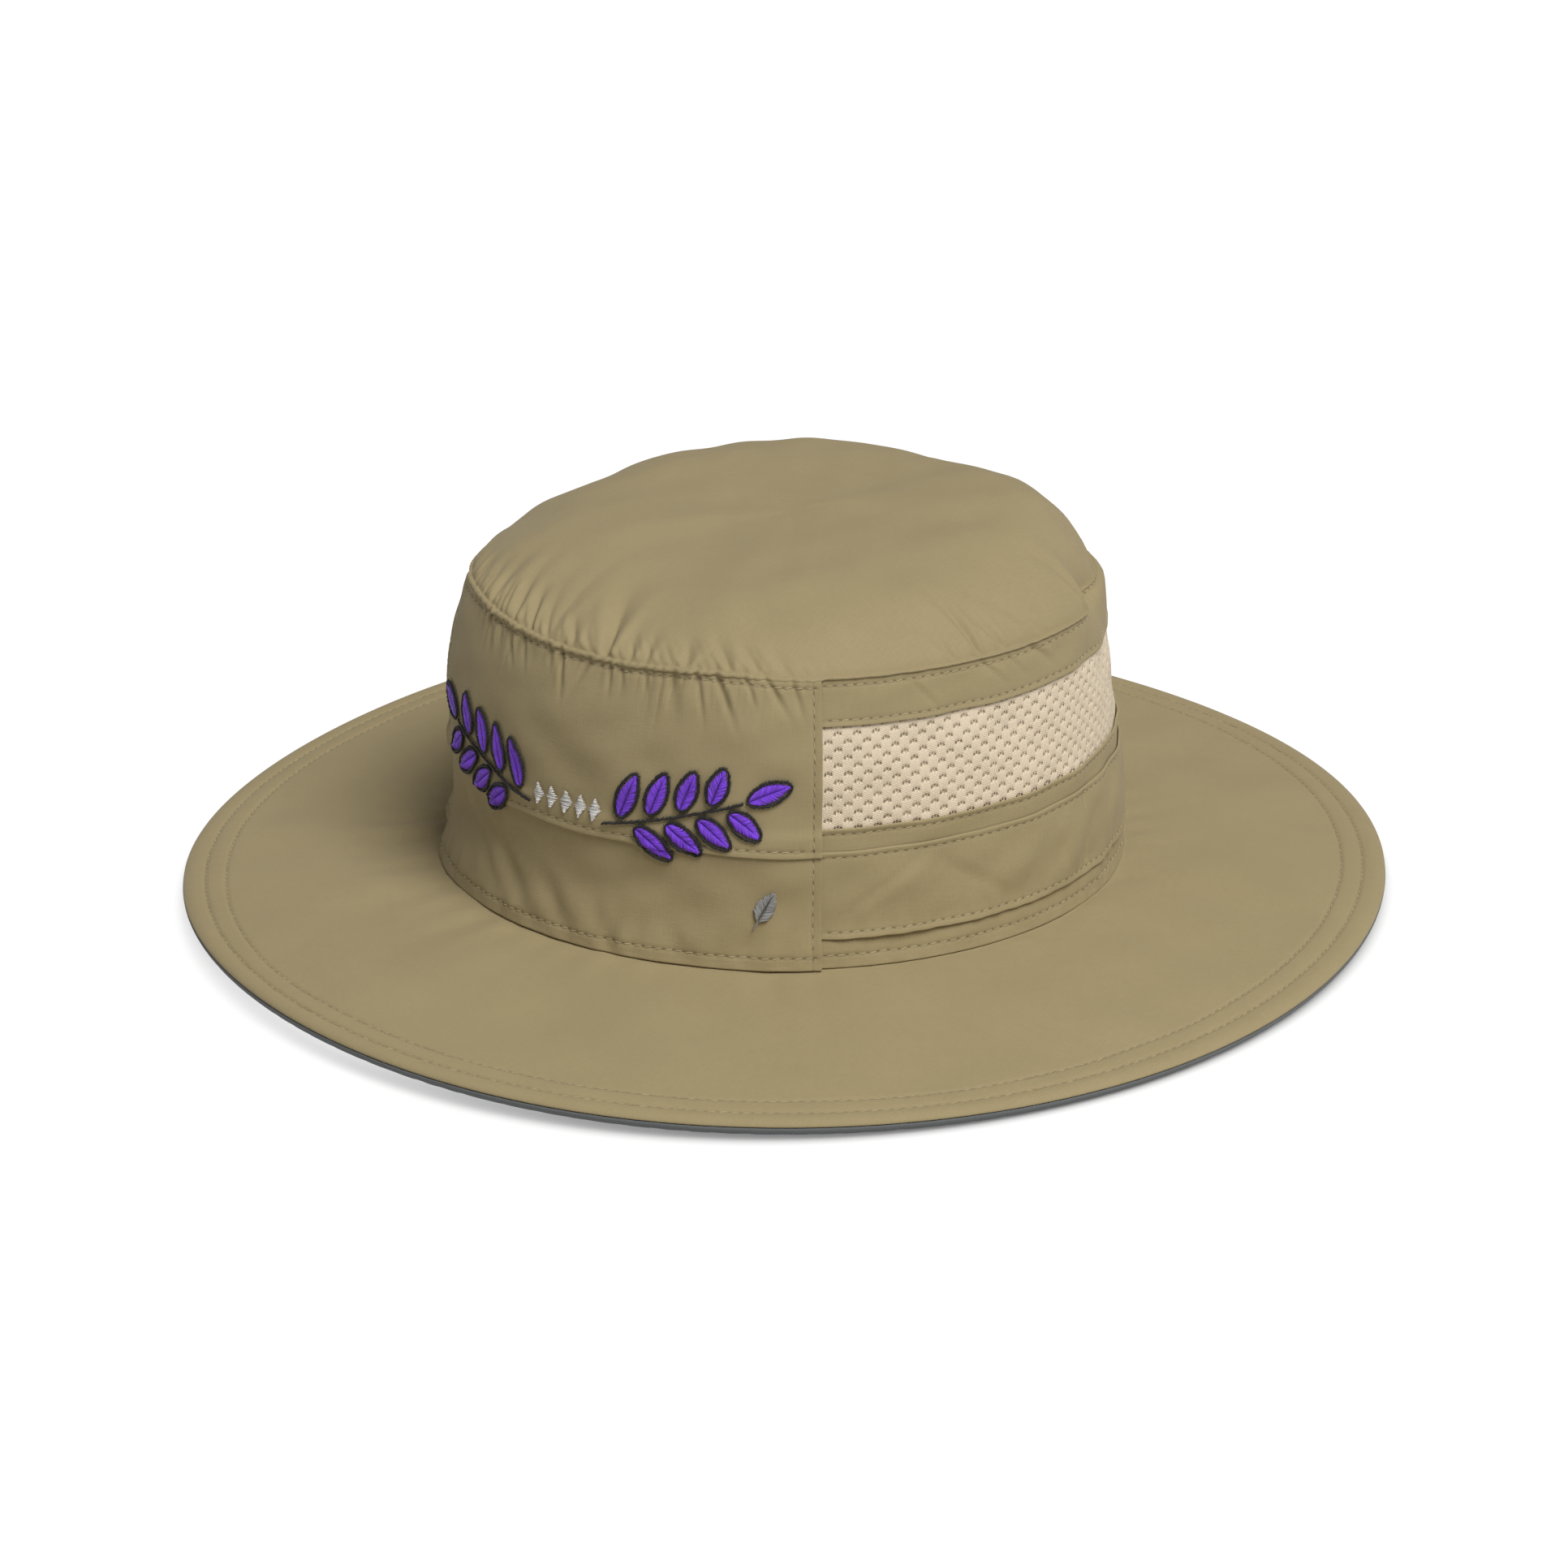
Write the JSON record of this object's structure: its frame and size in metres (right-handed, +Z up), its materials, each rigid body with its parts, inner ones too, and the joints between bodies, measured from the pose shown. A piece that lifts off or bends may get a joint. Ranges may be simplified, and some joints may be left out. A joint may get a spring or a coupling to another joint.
{
  "type": "boonie hat",
  "caption": "Boonie hat with a wide foam-cored brim, a stitched front panel, a side and back mesh vent, and a band with two eyelets for a cord.",
  "frame": {"origin": "centre of the brim's outline, on the surface that the brim rests on", "axes": "+Z up, front of the hat towards -Y, the wearer's left towards +X"},
  "size_m": [0.338, 0.353, 0.1118],
  "materials": {
    "khaki_cloth": "matte fine-weave poplin",
    "vent_mesh": "matte warp-knit air mesh",
    "underbrim_cloth": "matte fine-weave poplin",
    "sweatband_cloth": "matte soft wicking knit",
    "seam_tape": "matte twill tape",
    "foam": "matte closed-cell foam",
    "label_cloth": "satin woven label, blank",
    "eyelet_metal": "antiqued satin metal",
    "khaki_thread": "polyester sewing thread",
    "purple_thread": "glossy embroidery thread",
    "black_thread": "glossy embroidery thread",
    "white_thread": "glossy embroidery thread",
    "grey_thread": "glossy embroidery thread",
    "backing_cloth": "matte non-woven"
  },
  "bodies": {
    "root": {"crown_tip": "khaki_cloth", "crown_front_upper": "khaki_cloth", "crown_front_lower": "khaki_cloth", "crown_yoke": "khaki_cloth", "crown_mesh": "vent_mesh", "crown_back_base": "khaki_cloth", "cord_tunnel_band": "khaki_cloth", "tip_seam_tape": "seam_tape", "front_seam_tape_left": "seam_tape", "front_seam_tape_right": "seam_tape", "brim_top_cloth": "khaki_cloth", "brim_core": "foam", "brim_under_cloth": "underbrim_cloth", "sweatband_cover": "sweatband_cloth", "sweatband_foam": "foam", "size_label": "label_cloth", "care_label": "label_cloth", "cord_eyelets": "eyelet_metal", "brim_outer_thread": "khaki_thread", "brim_inner_thread": "khaki_thread", "base_seam_thread": "khaki_thread", "tip_seam_thread": "khaki_thread", "front_seam_thread": "khaki_thread", "front_split_thread": "khaki_thread", "yoke_thread": "khaki_thread", "mesh_lower_thread": "khaki_thread", "band_top_thread": "khaki_thread", "band_bottom_thread": "khaki_thread", "band_tack_thread": "khaki_thread", "embroidery_leaves": "purple_thread", "embroidery_outlines": "black_thread", "embroidery_seeds": "white_thread", "embroidery_small_leaf": "grey_thread", "embroidery_backing": "backing_cloth"}
  },
  "joints": []
}
